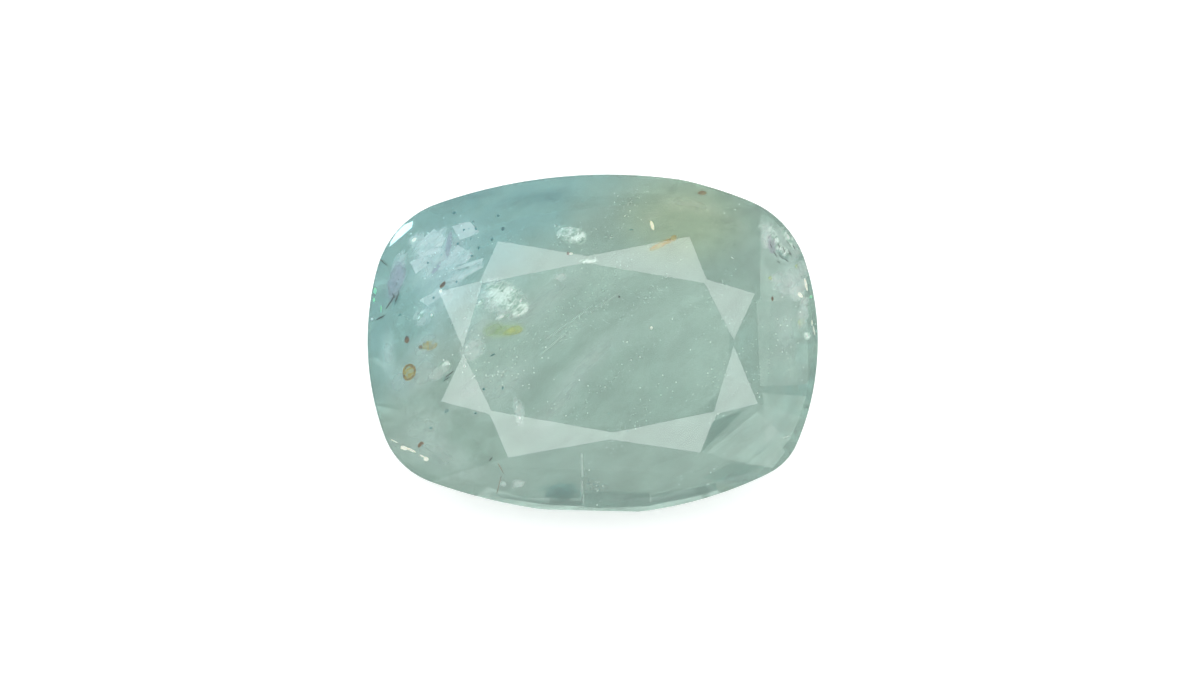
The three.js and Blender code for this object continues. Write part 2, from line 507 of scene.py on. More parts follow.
glass = {
    "ior": 1.77,
    "transmission": 0.95,
    "absorbColour": (0.55, 0.80, 0.72, 1),
    "absorbDensity": 60,      # per metre
    "girdleRoughness": 0.4,
    "girdleShade": (0.42, 0.48, 0.46, 1),
}


def glassValues(roughness):
    return {
        "Roughness": roughness,
        "IOR": glass["ior"],
        "Transmission Weight": glass["transmission"],
    }


def makeGlass():
    material, tree, shader = principled("sapphireGlass", glassValues(0))
    tree.links.new(useGroup(tree, gemZones, {})["Colour"], shader.inputs["Base Color"])
    absorb = tree.nodes.new("ShaderNodeVolumeAbsorption")
    setValues(absorb, {"Color": glass["absorbColour"], "Density": glass["absorbDensity"]})
    tree.links.new(absorb.outputs["Volume"], tree.nodes["Material Output"].inputs["Volume"])
    return material


def makeGirdle():
    material, tree, shader = principled("girdleFrosted", glassValues(glass["girdleRoughness"]))
    colour = useGroup(tree, gemZones, {})["Colour"]
    shade = mixColour(tree, 1, colour, glass["girdleShade"], "MULTIPLY")
    tree.links.new(shade, shader.inputs["Base Color"])
    return material


stone = finishPiece(makeStone(), "sapphireStone", makeGlass(), makeGirdle())
for polygon in stone.data.polygons:
    polygon.material_index = 1 if isGirdleWall(polygon.normal) else 0
print("stage: the stone is dressed")


# Silk: thin hazy layers across the stone, streaked along the silk's direction

veils = {
    "levels": (0.62, -0.08, -0.7, -1.4, -2.3),
    "leans": ((0.05, 0.03), (-0.02, 0.01), (0.04, -0.04), (0.08, 0.06), (-0.07, 0.04)),
    "thickness": 0.02,
    "share": 0.985,            # of the stone's own section at that level
    "colour": (0.95, 1.0, 0.99, 1),
    "zoneShare": 0.5,          # of the zones' plain colour, mixed into the haze
    "faint": 0.10,             # alpha of one face of a layer
    "dense": 0.23,
    "threadStretch": (3.2, 0.42, 1.2),
    "threadNoise": (1.0, 4, 0.62),
    "threadRange": (0.36, 0.68),
    "halfLength": 5.5,         # of the pavilion's section at the girdle, where the haze fades out
    "halfWidth": 4.1,
    "wallDepth": 0.56,         # under the girdle, from where the section narrows
    "narrowing": 1.07,         # of both half sizes, per mm under that
    "squareness": 2.6,         # power that shapes the section's rounded outline
    "wallRange": (0.95, 0.5),  # of that outline, where the haze starts and where it is full
    "fullAbove": -0.2,         # from that depth; over it the haze isn't faded
    "crossings": (             # steep layers: where they cross the stone, and which way they face
        ((0, -1.7, -0.8), (0.10, 1, 0.30)),
        ((0, 1.4, -0.8), (-0.08, 1, -0.25)),
        ((3.7, 0, -0.6), (1, 0.06, 0.25)),
        ((-3.3, 0, -0.6), (1, -0.10, -0.30)),
    ),
    "crossingTop": -0.1,
}


def wallFade(tree, vector):
    split = tree.nodes.new("ShaderNodeSeparateXYZ")
    tree.links.new(vector, split.inputs["Vector"])
    height = maths(tree, "ADD", split.outputs["Z"], veils["wallDepth"])
    below = maths(tree, "MINIMUM", height, 0)
    total = 0
    for axis, half in (("X", veils["halfLength"]), ("Y", veils["halfWidth"])):
        reach = maths(tree, "MULTIPLY_ADD", below, veils["narrowing"], half)
        share = maths(tree, "DIVIDE", maths(tree, "ABSOLUTE", split.outputs[axis]), reach)
        total = maths(tree, "ADD", maths(tree, "POWER", share, veils["squareness"]), total)
    fade = soft(tree, total, *veils["wallRange"])
    isAbove = maths(tree, "GREATER_THAN", below, veils["fullAbove"])
    return maths(tree, "MAXIMUM", fade, isAbove)


def makeVeilMaterial():
    values = {"Roughness": 1, "Specular IOR Level": 0}
    material, tree, shader = principled("silkHaze", values)
    vector = gemVector(tree)
    plain = useGroup(tree, gemZones, {})["Plain"]
    tint = mixColour(tree, veils["zoneShare"], veils["colour"], plain)
    tree.links.new(tint, shader.inputs["Base Color"])
    threads = turned(tree, vector, angle=zones["silkAngle"], scale=veils["threadStretch"])
    silk = noise(tree, threads, *veils["threadNoise"])
    haze = soft(tree, silk, *veils["threadRange"], veils["faint"], veils["dense"])
    alpha = maths(tree, "MULTIPLY", haze, wallFade(tree, vector))
    tree.links.new(alpha, shader.inputs["Alpha"])
    return material


def makeVeil(name, middle, normal, material, top=None):
    veil = copyOfStone()
    half = normal * (veils["thickness"] / 2 * mm)
    editAll()
    cutBy(middle + half, normal, True)
    cutBy(middle - half, -normal, True)
    if top is not None:
        cutBy(place(0, 0, top), outOfTable(), True)
    bpy.ops.mesh.select_all(action="SELECT")
    share = veils["share"]
    bpy.ops.transform.resize(value=(share, share, share), center_override=middle)
    bpy.ops.mesh.normals_make_consistent(inside=False)
    leaveEdit()
    finishPiece(veil, name, material)


veilMaterial = makeVeilMaterial()
for number, (level, lean) in enumerate(zip(veils["levels"], veils["leans"]), 1):
    makeVeil("silkVeil" + str(number), place(0, 0, level), direction(*lean, 1), veilMaterial)
for number, (where, way) in enumerate(veils["crossings"], 1):
    name = "silkCrossing" + str(number)
    makeVeil(name, place(*where), direction(*way), veilMaterial, veils["crossingTop"])
print("stage:", len(veils["levels"]) + len(veils["crossings"]), "silk layers")


# Inclusions. Each is placed by the pixel under which it shows and by its depth under the surface.

inner = BVHTree.FromObject(stone, bpy.context.evaluated_depsgraph_get())

inclusions = {
    "bendPower": 1.77,         # of the ray that leaves the camera's pixel
    "rayHeight": 5,            # over the girdle, clear of the stone
    "panelSize": 12,           # more than the stone's length, before it is cut
    "panelThickness": 0.012,
    "skin": 0.03,              # of clear stone that is left over every inclusion
}


def rayUnder(pixel):
    start = place(*fromPixel(pixel), inclusions["rayHeight"])
    where, normal, _, _ = inner.ray_cast(start, -outOfTable())
    return where, normal


def surfaceAt(pixel):
    where, normal = rayUnder(pixel)
    if where is None:
        raise ValueError("no stone under the pixel " + str(pixel))
    return where, normal


def under(pixel, depth):
    where, normal = surfaceAt(pixel)
    down = -outOfTable()
    ratio = 1 / inclusions["bendPower"]
    steep = -down.dot(normal)
    bend = ratio * steep - math.sqrt(1 - ratio ** 2 * (1 - steep ** 2))
    return where + (down * ratio + normal * bend) * depth * mm


def facing(pixel, depth, size, angle):
    normal = surfaceAt(pixel)[1]
    lean = outOfTable().rotation_difference(normal).to_matrix().to_4x4()
    turn = Matrix.Rotation(math.radians(angle), 4, "Z")
    size = Matrix.Diagonal((size[0] * mm, size[1] * mm, size[2] * mm, 1))
    return Matrix.Translation(under(pixel, depth)) @ lean @ gemTurn @ turn @ size


# The look of an inclusion: two colours mixed by a noise of the scale "grain", and a cover that a
# ragged edge wears away. The attribute "edge" runs from 0 in a cloud's middle to 1 at its rim.

hazeForm = {
    "stretch": (1.7, 0.75, 1),
    "colourRange": (0.38, 0.62),
    "fineness": (3, 0.65),       # detail and roughness
    "ragScale": 0.6,             # of the grain
    "ragFineness": (3, 0.6),
    "raggedFrom": 0.95,          # of the way to the rim, from where the cover grows inwards
    "rimRange": (0.98, 0.7),
    "shine": 0.5,                # specular level of the metallic ones
}


def makeHazePattern():
    inputs = [("First", "Color"), ("Second", "Color")]
    inputs += [(label, "Float") for label in ("Grain", "Swirl", "Torn", "Cover", "Inner")]
    outputs = (("Colour", "Color"), ("Alpha", "Float"))
    group, output = newGroup("hazePattern", inputs, outputs)
    given = group.nodes.new("NodeGroupInput").outputs
    vector = turned(group, gemVector(group), angle=zones["silkAngle"], scale=hazeForm["stretch"])
    fine = noise(group, vector, given["Grain"], *hazeForm["fineness"], given["Swirl"])
    share = soft(group, fine, *hazeForm["colourRange"])
    colour = mixColour(group, share, given["First"], given["Second"])
    group.links.new(colour, output["Colour"])

    edge = group.nodes.new("ShaderNodeAttribute")
    edge.attribute_name = "edge"
    far = edge.outputs["Fac"]
    ragGrain = maths(group, "MULTIPLY", given["Grain"], hazeForm["ragScale"])
    rag = noise(group, vector, ragGrain, *hazeForm["ragFineness"], given["Swirl"])
    tear = maths(group, "MULTIPLY", maths(group, "MULTIPLY_ADD", rag, -2, 1), given["Torn"])
    reach = maths(group, "ADD", far, tear)
    ragged = soft(group, reach, hazeForm["raggedFrom"], given["Inner"], 0, given["Cover"])
    rim = soft(group, far, *hazeForm["rimRange"])
    group.links.new(maths(group, "MULTIPLY", rim, ragged), output["Alpha"])
    return group


hazePattern = makeHazePattern()


# torn: how ragged the edge is; inner: how far out the cover is full; swirl: the noise's distortion;
# the glow is painted light, an emission that brightens the inclusion as light falling on it would
def hazeMaterial(
    name, first, second, grain, cover,
    torn=0.5, inner=0.35, roughness=1, metallic=0, paintedGlow=0, swirl=0,
):
    values = {"Roughness": roughness, "Metallic": metallic}
    material, tree, shader = principled(name, values)
    values = {
        "First": first + (1,),
        "Second": second + (1,),
        "Grain": grain,
        "Swirl": swirl,
        "Torn": torn,
        "Cover": cover,
        "Inner": inner,
    }
    pattern = useGroup(tree, hazePattern, values)
    tree.links.new(pattern["Colour"], shader.inputs["Base Color"])
    if cover < 1:
        tree.links.new(pattern["Alpha"], shader.inputs["Alpha"])
        shader.inputs["Specular IOR Level"].default_value = hazeForm["shine"] if metallic else 0
    # painted light: the inclusion shines though it is no lamp
    if paintedGlow:
        material.cycles.emission_sampling = "NONE"
        tree.links.new(pattern["Colour"], shader.inputs["Emission Color"])
        shader.inputs["Emission Strength"].default_value = paintedGlow
    return material


# Masters, modelled once at unit size: a lens for clouds and feathers, a grain, a flake, a needle
# and a ring

def storeEdge(piece, hasRim):
    attribute = piece.data.attributes.new("edge", "FLOAT", "POINT")
    for index, vertex in enumerate(piece.data.vertices):
        attribute.data[index].value = vertex.co.xy.length if hasRim else 0


def roughen(offset, seed):
    piece = bpy.context.object
    editAll()
    bpy.ops.transform.vertex_random(offset=offset, uniform=1, normal=0, seed=seed)
    leaveEdit()
    return piece


def makeLens():
    bpy.ops.mesh.primitive_uv_sphere_add(segments=28, ring_count=14, radius=1, location=(0, 0, 0))
    editAll()
    bpy.ops.transform.resize(value=(1, 1, 0.12), center_override=(0, 0, 0))
    leaveEdit()
    bpy.ops.object.shade_smooth()
    return roughen(offset=0.05, seed=4)


def makeGrain():
    bpy.ops.mesh.primitive_ico_sphere_add(subdivisions=2, radius=1, location=(0, 0, 0))
    return roughen(offset=0.16, seed=7)


def makeFlake():
    bpy.ops.mesh.primitive_cylinder_add(vertices=5, radius=1, depth=0.3, location=(0, 0, 0))
    return roughen(offset=0.2, seed=3)


def makeNeedle():
    bpy.ops.mesh.primitive_cylinder_add(vertices=6, radius=1, depth=2, location=(0, 0, 0))
    needle = bpy.context.object
    editAll()
    bpy.ops.transform.rotate(
        value=math.radians(90), orient_axis="Y", center_override=(0, 0, 0)
    )
    leaveEdit()
    return needle


def makeRing():
    bpy.ops.mesh.primitive_torus_add(
        major_segments=12, minor_segments=8, major_radius=1, minor_radius=0.2, location=(0, 0, 0)
    )
    return roughen(offset=0.08, seed=5)


masters = {
    "lens": makeLens(),
    "grain": makeGrain(),
    "flake": makeFlake(),
    "needle": makeNeedle(),
    "ring": makeRing(),
}
for name, master in masters.items():
    storeEdge(master, name == "lens")


def strew(name, master, places, material):
    return finishPiece(copiesAt(masters[master], places), name, material)


def keepInside(piece):
    makeActive(piece)
    wrap = piece.modifiers.new("keepInside", "SHRINKWRAP")
    wrap.target = stone
    wrap.wrap_method = "NEAREST_SURFACEPOINT"
    wrap.wrap_mode = "INSIDE"
    wrap.offset = inclusions["skin"] * mm
    bpy.ops.object.modifier_apply(modifier=wrap.name)


def strewSpots(kind, master, spotsOfLook, looks, shares):
    for look, spots in spotsOfLook.items():
        share = shares.get(look, 1)
        places = []
        for pixel, depth, size, angle in spots:
            wide, tall = size[0] * share, size[1] * share
            places.append(facing(pixel, depth, (wide, tall, min(wide, tall)), angle))
        keepInside(strew(look + kind, master, places, looks[look]))


# Clouds, stains, and fractures with a silvery skin. A row gives the pixel, the depth, half the
# length and half the width, and the angle in degrees.

# The glow given to the silver, pale, milky, lilac, olive, yellow and orange clouds is painted
# light: they shine though they are no lamps.
cloudLook = {
    "silver": hazeMaterial(
        "silverSkin", (0.98, 1.0, 0.98), (0.32, 0.46, 0.39), 6, 0.88,
        torn=0.8, roughness=0.25, metallic=0.4, paintedGlow=0.26, swirl=1.2,
    ),
    "pale": hazeMaterial(
        "paleCloud", (1.0, 0.98, 0.98), (0.84, 0.92, 0.92), 7, 0.5, torn=0.8, paintedGlow=0.16, swirl=0.8
    ),
    "milk": hazeMaterial(
        "milkyCloud", (0.98, 1.0, 1.0), (0.88, 0.96, 0.97), 2.2, 0.38,
        torn=0.3, inner=-0.1, paintedGlow=0.14,
    ),
    "deep": hazeMaterial(
        "deepBlueCloud", (0.06, 0.36, 0.44), (0.14, 0.46, 0.52), 3, 0.2, torn=0.3, inner=-0.1
    ),
    "lilac": hazeMaterial("lilacCloud", (0.80, 0.72, 0.84), (0.62, 0.62, 0.72), 5, 0.7, paintedGlow=0.08),
    "olive": hazeMaterial("oliveCloud", (0.70, 0.88, 0.42), (0.80, 0.94, 0.58), 3, 0.36, paintedGlow=0.06),
    "yellow": hazeMaterial(
        "yellowCloud", (0.95, 0.94, 0.30), (0.74, 0.84, 0.36), 6, 0.6, torn=0.4, paintedGlow=0.08
    ),
    "orange": hazeMaterial(
        "orangeCloud", (0.92, 0.56, 0.12), (0.84, 0.72, 0.36), 7, 0.65, torn=0.8, paintedGlow=0.05
    ),
    "rust": hazeMaterial("rustCloud", (0.45, 0.22, 0.08), (0.62, 0.42, 0.22), 9, 0.7),
    "shade": hazeMaterial("tealShade", (0.02, 0.46, 0.46), (0.12, 0.58, 0.56), 8, 0.34, torn=0.7),
}

clouds = {
    "silver": (
        ((505, 296), 0.25, (0.55, 0.36), -28),
        ((520, 309), 0.18, (0.26, 0.20), 50),
        ((503, 317), 0.16, (0.20, 0.08), 20),
        ((481, 303), 0.20, (0.16, 0.06), 45),
        ((571, 235), 0.20, (0.42, 0.27), -22),
        ((589, 261), 0.08, (0.26, 0.06), 5),
        ((445, 366), 0.20, (0.22, 0.13), 20),
        ((789, 240), 0.12, (0.30, 0.14), -52),
        ((774, 237), 0.14, (0.30, 0.16), -75),
        ((782, 250), 0.14, (0.34, 0.16), -35),
        ((432, 315), 0.18, (0.10, 0.10), 0),
        ((421, 316), 0.18, (0.20, 0.07), 45),
        ((807, 335), 0.10, (0.12, 0.12), 0),
    ),
    "pale": (
        ((505, 300), 0.45, (0.72, 0.50), -20),
        ((770, 238), 0.22, (0.32, 0.50), 10),
        ((784, 244), 0.30, (0.55, 0.50), -30),
        ((784, 284), 0.18, (0.50, 0.34), -15),
        ((798, 288), 0.12, (0.30, 0.40), -15),
        ((803, 312), 0.10, (0.20, 0.50), -10),
        ((768, 236), 0.16, (0.22, 0.40), 5),
        ((430, 243), 0.18, (0.60, 0.26), 40),
        ((455, 262), 0.18, (0.60, 0.20), 35),
        ((400, 262), 0.14, (0.22, 0.36), -30),
        ((468, 272), 0.16, (0.50, 0.16), 32),
        ((474, 350), 0.25, (0.36, 0.30), 50),
        ((425, 316), 0.30, (0.42, 0.24), 30),
        ((561, 277), 0.20, (0.22, 0.13), 10),
        ((455, 278), 0.25, (0.32, 0.26), 35),
        ((426, 261), 0.20, (0.18, 0.20), 0),
        ((519, 410), 0.30, (0.16, 0.45), 10),
        ((518, 484), 0.30, (0.22, 0.16), 25),
        ((504, 484), 0.30, (0.08, 0.12), 10),
        ((416, 240), 0.15, (0.30, 0.20), 45),
        ((436, 264), 0.20, (0.55, 0.36), 35),
        ((802, 271), 0.12, (0.22, 0.30), -20),
        ((440, 372), 0.20, (0.40, 0.16), 32),
    ),
    "milk": (
        ((445, 255), 0.50, (1.60, 0.95), 38),
        ((430, 245), 0.40, (0.90, 0.60), 45),
        ((440, 300), 0.60, (1.20, 0.70), 45),
        ((505, 385), 0.80, (1.40, 0.70), 40),
        ((425, 345), 0.70, (1.20, 0.50), 40),
        ((480, 330), 0.80, (1.30, 0.55), 38),
        ((545, 300), 1.00, (1.90, 0.55), 37),
        ((590, 360), 1.10, (1.90, 0.50), 42),
        ((560, 400), 1.00, (1.70, 0.45), 50),
        ((786, 330), 0.40, (0.60, 1.40), 0),
        ((790, 285), 0.25, (0.60, 0.55), -20),
        ((470, 390), 0.60, (0.90, 0.45), 30),
        ((420, 430), 0.85, (1.30, 1.00), 30),
        ((425, 372), 0.60, (1.10, 0.62), 40),
        ((398, 382), 0.50, (0.80, 0.70), 60),
        ((436, 455), 0.55, (1.70, 0.75), -14),
        ((441, 268), 0.35, (1.00, 0.70), 35),
        ((388, 352), 0.30, (0.34, 0.80), 0),
        ((792, 275), 0.25, (0.60, 0.70), -15),
        ((690, 205), 0.50, (1.30, 0.45), -12),
    ),
    "lilac": (
        ((396, 280), 0.14, (0.24, 0.56), -18),
        ((449, 245), 0.14, (0.08, 0.42), -4),
        ((437, 268), 0.16, (0.07, 0.20), -30),
        ((772, 243), 0.14, (0.14, 0.30), -8),
    ),
    "deep": (
        ((545, 196), 0.35, (1.40, 0.50), 3),
        ((480, 196), 0.30, (0.90, 0.34), 14),
    ),
    "olive": (
        ((494, 330), 0.28, (0.34, 0.26), 20),
        ((506, 331), 0.32, (0.42, 0.20), 20),
    ),
    "yellow": (
        ((514, 331), 0.24, (0.28, 0.12), 20),
        ((770, 278), 0.16, (0.07, 0.05), 30),
        ((797, 266), 0.14, (0.07, 0.05), 30),
        ((801, 322), 0.14, (0.12, 0.08), 30),
    ),
    "orange": (
        ((429, 346), 0.20, (0.22, 0.11), 12),
        ((663, 244), 0.16, (0.34, 0.07), 28),
        ((673, 238), 0.12, (0.12, 0.07), 30),
    ),
    "rust": (
        ((702, 193), 0.15, (0.13, 0.08), 10),
        ((421, 347), 0.12, (0.07, 0.06), 20),
    ),
    "shade": (
        ((397, 300), 0.12, (0.10, 0.22), -35),
        ((446, 379), 0.16, (0.24, 0.06), 32),
        ((561, 491), 0.26, (0.62, 0.42), -4),
        ((562, 496), 0.20, (0.54, 0.34), 0),
        ((782, 254), 0.14, (0.28, 0.12), -40),
        ((380, 318), 0.12, (0.16, 0.07), 20),
        ((383, 262), 0.12, (0.20, 0.07), -35),
    ),
}

cloudShare = {        # of the size given, since their rims fade away
    "silver": 1.15,
    "pale": 1.15,
    "lilac": 1.25,
    "olive": 1.15,
    "yellow": 1.3,
    "orange": 1.5,
    "rust": 1.3,
}

strewSpots("Clouds", "lens", clouds, cloudLook, cloudShare)
print("stage: clouds and fractures")


# Small solid grains, sparks and needles. A row says what a cloud's row says.

grainLook = {
    "brown": hazeMaterial("brownGrain", (0.14, 0.02, 0.0), (0.40, 0.13, 0.0), 14, 1, roughness=0.5),
    "dark": hazeMaterial("darkGrain", (0.0, 0.01, 0.015), (0.03, 0.05, 0.05), 14, 1, roughness=0.5),
    "teal": hazeMaterial("tealGrain", (0.03, 0.22, 0.27), (0.10, 0.34, 0.38), 14, 1, roughness=0.5),
    # The spark, warm and green grains glow: painted glints on small bright crystals.
    "spark": hazeMaterial(
        "brightGrain", (1.0, 0.95, 0.96), (0.96, 0.92, 0.92), 14, 1, roughness=0.3, paintedGlow=0.35
    ),
    "warm": hazeMaterial(
        "warmGrain", (1.0, 0.92, 0.86), (1.0, 0.84, 0.74), 14, 1, roughness=0.3, paintedGlow=0.6
    ),
    "green": hazeMaterial(
        "greenFleck", (0.40, 1.0, 0.42), (0.40, 0.92, 0.70), 12, 1, roughness=0.2, paintedGlow=0.3
    ),
    "goldRing": hazeMaterial(
        "goldCrystal", (0.75, 0.40, 0.01), (0.34, 0.15, 0.0), 10, 1, roughness=0.25
    ),
    "goldCore": hazeMaterial(
        "goldCrystalCore", (0.80, 0.74, 0.44), (0.80, 0.52, 0.06), 8, 1, roughness=0.25
    ),
}

grainShare = {"spark": 0.65, "warm": 1.05, "brown": 1.15, "teal": 0.85}

grains = {
    "brown": (
        ((407, 340), 0.10, (0.060, 0.075), 0),
        ((443, 285), 0.10, (0.045, 0.085), -35),
        ((420, 445), 0.10, (0.080, 0.035), 50),
        ((422, 443), 0.10, (0.050, 0.030), -20),
        ((772, 299), 0.15, (0.030, 0.050), 0),
        ((568, 254), 0.10, (0.030, 0.030), 0),
    ),
    "dark": (
        ((390, 303), 0.08, (0.230, 0.022), 52),
        ((399, 293), 0.08, (0.070, 0.016), 100),
        ((397, 298), 0.08, (0.120, 0.022), 65),
        ((394, 296), 0.08, (0.080, 0.018), 120),
        ((450, 374), 0.10, (0.150, 0.018), 32),
        ((447, 379), 0.10, (0.120, 0.014), 30),
        ((491, 459), 0.12, (0.075, 0.018), 50),
        ((619, 297), 0.25, (0.025, 0.025), 0),
        ((383, 262), 0.06, (0.160, 0.014), -40),
        ((380, 318), 0.06, (0.160, 0.018), 22),
        ((771, 246), 0.08, (0.070, 0.011), -72),
        ((775, 254), 0.08, (0.110, 0.013), -58),
        ((779, 246), 0.08, (0.080, 0.012), -64),
        ((781, 257), 0.08, (0.100, 0.012), -40),
        ((784, 250), 0.08, (0.110, 0.013), -68),
        ((786, 260), 0.08, (0.080, 0.012), -30),
        ((790, 253), 0.08, (0.090, 0.012), -66),
        ((794, 247), 0.08, (0.070, 0.011), -60),
        ((778, 262), 0.08, (0.060, 0.010), -25),
        ((788, 243), 0.08, (0.080, 0.011), -50),
    ),
    "teal": (
        ((498, 216), 0.15, (0.045, 0.040), 0),
        ((503, 229), 0.15, (0.055, 0.065), 0),
        ((492, 240), 0.15, (0.045, 0.045), 0),
        ((476, 229), 0.15, (0.035, 0.055), 30),
        ((473, 222), 0.15, (0.025, 0.035), 20),
        ((464, 230), 0.15, (0.035, 0.035), 0),
        ((454, 213), 0.15, (0.055, 0.045), 0),
        ((458, 244), 0.15, (0.045, 0.040), 0),
        ((479, 248), 0.15, (0.045, 0.040), 0),
        ((472, 256), 0.15, (0.050, 0.035), 0),
        ((471, 239), 0.15, (0.030, 0.030), 0),
        ((434, 298), 0.12, (0.035, 0.035), 0),
        ((428, 263), 0.06, (0.035, 0.035), 0),
        ((457, 282), 0.06, (0.030, 0.035), 0),
        ((400, 315), 0.12, (0.060, 0.022), 20),
        ((493, 355), 0.20, (0.080, 0.022), 25),
        ((503, 388), 0.20, (0.030, 0.045), 0),
        ((484, 389), 0.20, (0.040, 0.040), 0),
        ((447, 411), 0.20, (0.080, 0.050), 30),
        ((476, 413), 0.20, (0.045, 0.030), 0),
        ((431, 428), 0.20, (0.045, 0.030), 0),
        ((631, 230), 0.20, (0.060, 0.018), 10),
    ),
    "spark": (
        ((521, 301), 0.08, (0.090, 0.040), 60),
        ((527, 310), 0.08, (0.100, 0.035), 50),
        ((519, 315), 0.08, (0.070, 0.035), 30),
        ((502, 317), 0.08, (0.100, 0.040), 20),
        ((480, 302), 0.08, (0.070, 0.020), 40),
        ((512, 290), 0.12, (0.040, 0.040), 0),
        ((555, 226), 0.10, (0.020, 0.060), 0),
        ((572, 238), 0.10, (0.030, 0.060), 10),
        ((578, 234), 0.10, (0.025, 0.060), -20),
        ((584, 237), 0.10, (0.025, 0.050), 0),
        ((563, 236), 0.10, (0.030, 0.030), 0),
        ((432, 315), 0.06, (0.055, 0.055), 0),
        ((419, 318), 0.08, (0.080, 0.018), 50),
        ((467, 347), 0.06, (0.050, 0.040), 0),
        ((465, 366), 0.05, (0.050, 0.045), 0),
        ((465, 318), 0.05, (0.050, 0.025), 30),
        ((444, 360), 0.08, (0.030, 0.030), 0),
        ((450, 364), 0.08, (0.030, 0.030), 0),
        ((517, 357), 0.15, (0.030, 0.030), 0),
        ((517, 407), 0.15, (0.025, 0.060), 0),
        ((520, 418), 0.10, (0.040, 0.040), 0),
        ((640, 357), 0.20, (0.040, 0.036), 0),
        ((631, 360), 0.20, (0.024, 0.024), 0),
        ((672, 319), 0.20, (0.026, 0.026), 0),
        ((605, 387), 0.20, (0.030, 0.030), 0),
        ((711, 369), 0.20, (0.022, 0.022), 0),
        ((710, 342), 0.20, (0.018, 0.018), 0),
        ((627, 342), 0.25, (0.045, 0.022), 40),
        ((791, 347), 0.15, (0.024, 0.024), 0),
        ((782, 352), 0.15, (0.022, 0.022), 0),
        ((757, 393), 0.08, (0.030, 0.030), 0),
        ((759, 397), 0.08, (0.022, 0.022), 0),
        ((788, 237), 0.06, (0.060, 0.110), 15),
        ((780, 249), 0.06, (0.030, 0.080), -20),
        ((785, 253), 0.06, (0.025, 0.070), -30),
        ((775, 240), 0.06, (0.030, 0.070), -10),
        ((792, 246), 0.06, (0.022, 0.060), 30),
        ((800, 312), 0.08, (0.040, 0.030), 0),
        ((807, 336), 0.06, (0.050, 0.050), 0),
        ((732, 258), 0.20, (0.060, 0.018), -30),
        ((786, 437), 0.10, (0.140, 0.014), 12),
        ((611, 238), 0.15, (0.050, 0.022), 0),
        ((628, 205), 0.12, (0.022, 0.022), 0),
        ((630, 211), 0.12, (0.026, 0.022), 0),
        ((597, 505), 0.10, (0.030, 0.030), 0),
        ((600, 501), 0.10, (0.020, 0.020), 0),
        ((372, 319), 0.05, (0.060, 0.050), 0),
        ((489, 301), 0.12, (0.060, 0.015), 45),
    ),
    "warm": (
        ((426, 459), 0.06, (0.065, 0.055), 0),
        ((422, 456), 0.06, (0.070, 0.020), -22),
        ((404, 448), 0.06, (0.100, 0.050), -12),
        ((411, 450), 0.06, (0.120, 0.030), -22),
        ((394, 441), 0.06, (0.100, 0.014), -22),
        ((651, 328), 0.20, (0.030, 0.036), 0),
        ((652, 226), 0.12, (0.040, 0.130), 15),
        ((806, 285), 0.06, (0.030, 0.150), 12),
        ((800, 295), 0.06, (0.080, 0.045), -40),
        ((812, 323), 0.06, (0.016, 0.070), 0),
        ((814, 331), 0.05, (0.016, 0.110), 12),
        ((441, 291), 0.06, (0.045, 0.035), 40),
        ((571, 254), 0.08, (0.040, 0.022), 0),
        ((414, 240), 0.10, (0.070, 0.040), 30),
    ),
    "green": (
        ((375, 291), 0.05, (0.045, 0.080), 0),
        ((374, 300), 0.05, (0.030, 0.060), 0),
        ((381, 309), 0.05, (0.016, 0.100), 0),
        ((811, 297), 0.05, (0.040, 0.040), 0),
    ),
}

strewSpots("Grains", "grain", grains, grainLook, grainShare)

speckles = {
    "seed": 5,
    "depth": 0.12,
    "size": (0.006, 0.018),
    "patches": (        # middle and spread in pixels, number of specks, share of bright ones
        ((596, 489), (6.5, 7.5), 70, 0.25),
        ((497, 368), (22, 18), 60, 1),
        ((571, 235), (9, 6), 26, 0.8),
        ((468, 236), (22, 15), 60, 0.1),
        ((437, 258), (20, 16), 40, 0.7),
        ((792, 340), (10, 22), 24, 1),
        ((630, 206), (8, 8), 14, 1),
        ((640, 372), (60, 30), 16, 0.8),
    ),
}


def makeSpeckles():
    chance = random.Random(speckles["seed"])
    places = {"teal": [], "spark": []}
    for middle, spread, count, brightShare in speckles["patches"]:
        for number in range(count):
            pixel = (chance.gauss(middle[0], spread[0]), chance.gauss(middle[1], spread[1]))
            size = [chance.uniform(*speckles["size"]) for axis in range(3)]
            look = "spark" if chance.random() < brightShare else "teal"
            turn = chance.uniform(0, 90)
            if rayUnder(pixel)[0] is not None:
                places[look].append(facing(pixel, speckles["depth"], size, turn))
    for look, found in places.items():
        keepInside(strew(look + "Speckles", "flake", found, grainLook[look]))


makeSpeckles()

crystal = {        # a golden ring and its core
    "pixel": (409.5, 372),
    "depth": 0.22,
    "size": (0.15, 0.18),
    "angle": -25,
    "parts": (("goldRing", "ring", 0.14), ("goldCore", "grain", 0.05)),    # the last is its height
}
for name, master, height in crystal["parts"]:
    size = (*crystal["size"], height)
    spot = facing(crystal["pixel"], crystal["depth"], size, crystal["angle"])
    strew(name, master, [spot], grainLook[name])

needleLook = {"pale": cloudLook["pale"], "milk": cloudLook["milk"], "brown": grainLook["brown"]}

needles = {        # pixel, depth, half the length, half the thickness and angle
    "pale": (
        ((582, 465), 0.25, 0.34, 0.022, 92),
        ((582, 492), 0.25, 0.34, 0.018, 90),
    ),
    "milk": (
        ((570, 322), 0.60, 0.70, 0.014, 36),
        ((603, 304), 0.60, 0.45, 0.012, 33),
        ((553, 344), 0.50, 0.40, 0.012, 40),
        ((497, 373), 0.30, 0.30, 0.014, 20),
    ),
    "brown": (
        ((501, 468), 0.12, 0.16, 0.010, -70),
        ((499, 485), 0.12, 0.30, 0.008, 75),
    ),
}

for look, spots in needles.items():
    places = []
    for pixel, depth, length, thick, angle in spots:
        places.append(facing(pixel, depth, (length, thick, thick), angle))
    strew(look + "Needles", "needle", places, needleLook[look])
print("stage: grains, sparks and needles")
